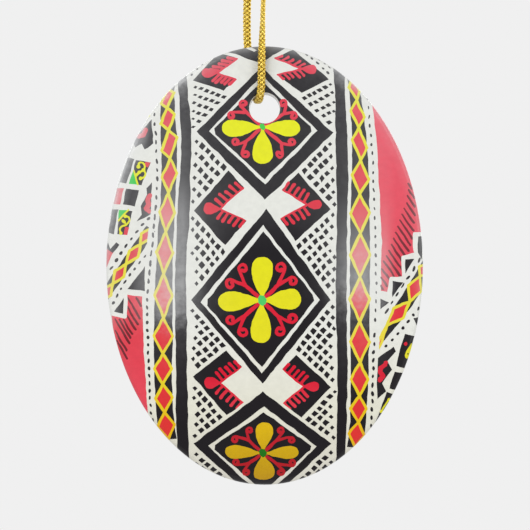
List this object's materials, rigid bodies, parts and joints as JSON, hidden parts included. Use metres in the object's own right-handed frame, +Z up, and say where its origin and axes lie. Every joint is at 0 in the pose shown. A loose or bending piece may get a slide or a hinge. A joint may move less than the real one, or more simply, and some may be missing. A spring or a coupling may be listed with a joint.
{
  "type": "decorated egg ornament",
  "caption": "Flat oval glazed porcelain hanging ornament printed on both faces with a folk-patterned decorated egg, on a loop of metallic gold braid.",
  "frame": {"origin": "centre of the round hook, up to 5 mm across, that the cord loop hangs over", "axes": "+Z up along the hanging cord, +X to the right as the printed front is seen, -Y out of the printed front face"},
  "size_m": [0.0584, 0.0073, 0.1481],
  "materials": {
    "porcelain": "gloss",
    "printed_glaze": "gloss",
    "gold_braid": "satin"
  },
  "bodies": {
    "hanger": {"cord_knot": "gold_braid", "cord_tail_front": "gold_braid", "cord_tail_back": "gold_braid", "cord_top_front": "gold_braid", "cord_top_back": "gold_braid"},
    "sling": {"cord_sling": "gold_braid"},
    "ornament": {"porcelain_body": "porcelain", "front_print": "printed_glaze", "back_print": "printed_glaze"}
  },
  "joints": [
    {"name": "spin", "type": "hinge", "parent": "hanger", "child": "sling", "pos_m": [0, 0, -0.006], "axis": [0, 0, 1], "range_deg": [-180, 180], "stiffness_Nm_per_rad": 0.00006},
    {"name": "swing", "type": "hinge", "parent": "sling", "child": "ornament", "pos_m": [0, 0, -0.057], "axis": [0, 1, 0], "range_deg": [-90, 90]}
  ]
}
